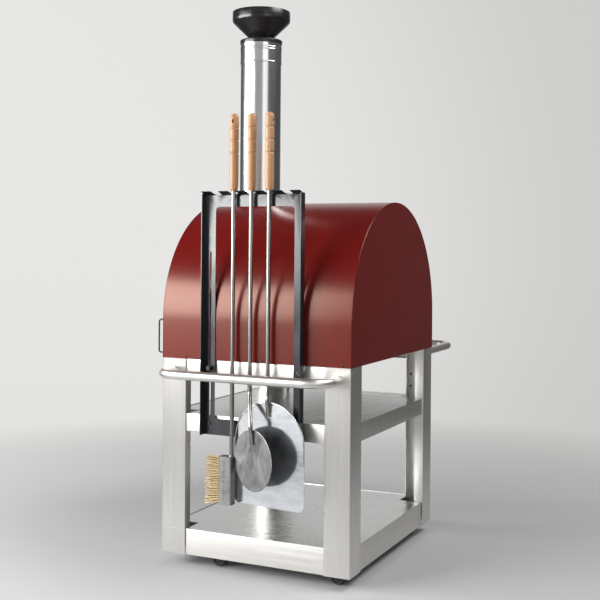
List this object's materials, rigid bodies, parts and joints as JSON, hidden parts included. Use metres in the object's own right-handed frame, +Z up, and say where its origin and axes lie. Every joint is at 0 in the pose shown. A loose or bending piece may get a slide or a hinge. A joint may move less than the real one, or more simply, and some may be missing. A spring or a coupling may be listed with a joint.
{
  "type": "wood fired pizza oven",
  "caption": "Barrel-vaulted wood fired pizza oven with a tall flue, on a wheeled steel cart with shelves, a tool rack and hanging tools.",
  "frame": {"origin": "on the floor, in the middle of the whole object's plan box", "axes": "+Z up, the oven mouth faces -Y, the tool rack hangs on the +X side, the side shelf stands out on the -X side"},
  "size_m": [1.5328, 0.9314, 2.208],
  "materials": {
    "brushed_steel": "vertical brushed stainless steel",
    "shelf_steel": "satin to polished stainless steel",
    "tool_steel": "scuffed polished stainless steel",
    "red_coat": "fine-textured satin red powder coat",
    "black_coat": "satin black powder coat",
    "black_plastic": "matte black",
    "wheel_rubber": "dull black rubber",
    "refractory": "rough cast refractory",
    "fibre": "matte ceramic fibre",
    "beech": "oiled light wood",
    "brass": "drawn brass wire"
  },
  "bodies": {
    "oven_cart": {"caster_channel_left": "brushed_steel", "caster_channel_right": "brushed_steel", "chimney_cap": "black_coat", "chimney_collar": "shelf_steel", "chimney_cowl": "black_coat", "chimney_pipe": "brushed_steel", "flue_flashing": "black_coat", "flue_liner": "brushed_steel", "front_panel": "red_coat", "hearth_board": "fibre", "hearth_slab": "refractory", "insulation_blanket": "fibre", "leg_front_left": "brushed_steel", "leg_front_right": "brushed_steel", "leg_rear_left": "brushed_steel", "leg_rear_right": "brushed_steel", "lower_beam_front": "brushed_steel", "lower_beam_left": "brushed_steel", "lower_beam_rear": "brushed_steel", "lower_beam_right": "brushed_steel", "lower_shelf": "shelf_steel", "mid_beam_front": "brushed_steel", "mid_beam_left": "brushed_steel", "mid_beam_rear": "brushed_steel", "mid_beam_right": "brushed_steel", "mid_shelf": "shelf_steel", "mouth_frame": "brushed_steel", "oven_tray": "brushed_steel", "rack_knob_front": "black_plastic", "rack_knob_rear": "black_plastic", "rear_panel": "red_coat", "refractory_dome": "refractory", "side_rail": "brushed_steel", "side_shelf_hoop": "brushed_steel", "side_shelf_plate": "shelf_steel", "top_beam_left": "brushed_steel", "top_beam_right": "brushed_steel", "vault_shell": "red_coat"},
    "door": {"door_panel": "brushed_steel", "door_handle_right": "black_coat", "door_handle_left": "black_coat"},
    "rack": {"tool_rack": "black_coat"},
    "brush": {"brush_grip": "beech", "brush_rod": "brushed_steel", "brush_block": "tool_steel", "brush_bristles": "brass"},
    "turning_peel": {"turning_peel_grip": "beech", "turning_peel_rod": "brushed_steel", "turning_peel_disc": "tool_steel"},
    "pizza_peel": {"pizza_peel_grip": "beech", "pizza_peel_rod": "brushed_steel", "pizza_peel_blade": "tool_steel"},
    "caster_front_right": {"caster_fork_front_right": "black_plastic"},
    "wheel_front_right": {"caster_wheel_front_right": "wheel_rubber"},
    "caster_rear_right": {"caster_fork_rear_right": "black_plastic"},
    "wheel_rear_right": {"caster_wheel_rear_right": "wheel_rubber"},
    "caster_front_left": {"caster_fork_front_left": "black_plastic"},
    "wheel_front_left": {"caster_wheel_front_left": "wheel_rubber"},
    "caster_rear_left": {"caster_fork_rear_left": "black_plastic"},
    "wheel_rear_left": {"caster_wheel_rear_left": "wheel_rubber"}
  },
  "joints": [
    {"name": "door_pull", "type": "slide", "parent": "oven_cart", "child": "door", "axis": [0, -1, 0], "range_m": [0, 0.3]},
    {"name": "rack_height", "type": "slide", "parent": "oven_cart", "child": "rack", "axis": [0, 0, 1], "range_m": [-0.18, 0.015]},
    {"name": "brush_lift", "type": "slide", "parent": "rack", "child": "brush", "axis": [0, 0, 1], "range_m": [0, 0.05]},
    {"name": "turning_peel_lift", "type": "slide", "parent": "rack", "child": "turning_peel", "axis": [0, 0, 1], "range_m": [0, 0.05]},
    {"name": "pizza_peel_lift", "type": "slide", "parent": "rack", "child": "pizza_peel", "axis": [0, 0, 1], "range_m": [0, 0.018]},
    {"name": "swivel_front_right", "type": "hinge", "parent": "oven_cart", "child": "caster_front_right", "pos_m": [0.548, -0.1227, 0.07], "axis": [0, 0, 1], "continuous": true},
    {"name": "spin_front_right", "type": "hinge", "parent": "caster_front_right", "child": "wheel_front_right", "pos_m": [0.548, -0.1007, 0.03], "axis": [1, 0, 0], "continuous": true},
    {"name": "swivel_rear_right", "type": "hinge", "parent": "oven_cart", "child": "caster_rear_right", "pos_m": [0.548, 0.3693, 0.07], "axis": [0, 0, 1], "continuous": true},
    {"name": "spin_rear_right", "type": "hinge", "parent": "caster_rear_right", "child": "wheel_rear_right", "pos_m": [0.548, 0.3913, 0.03], "axis": [1, 0, 0], "continuous": true},
    {"name": "swivel_front_left", "type": "hinge", "parent": "oven_cart", "child": "caster_front_left", "pos_m": [-0.228, -0.1227, 0.07], "axis": [0, 0, 1], "continuous": true},
    {"name": "spin_front_left", "type": "hinge", "parent": "caster_front_left", "child": "wheel_front_left", "pos_m": [-0.228, -0.1007, 0.03], "axis": [1, 0, 0], "continuous": true},
    {"name": "swivel_rear_left", "type": "hinge", "parent": "oven_cart", "child": "caster_rear_left", "pos_m": [-0.228, 0.3693, 0.07], "axis": [0, 0, 1], "continuous": true},
    {"name": "spin_rear_left", "type": "hinge", "parent": "caster_rear_left", "child": "wheel_rear_left", "pos_m": [-0.228, 0.3913, 0.03], "axis": [1, 0, 0], "continuous": true}
  ]
}
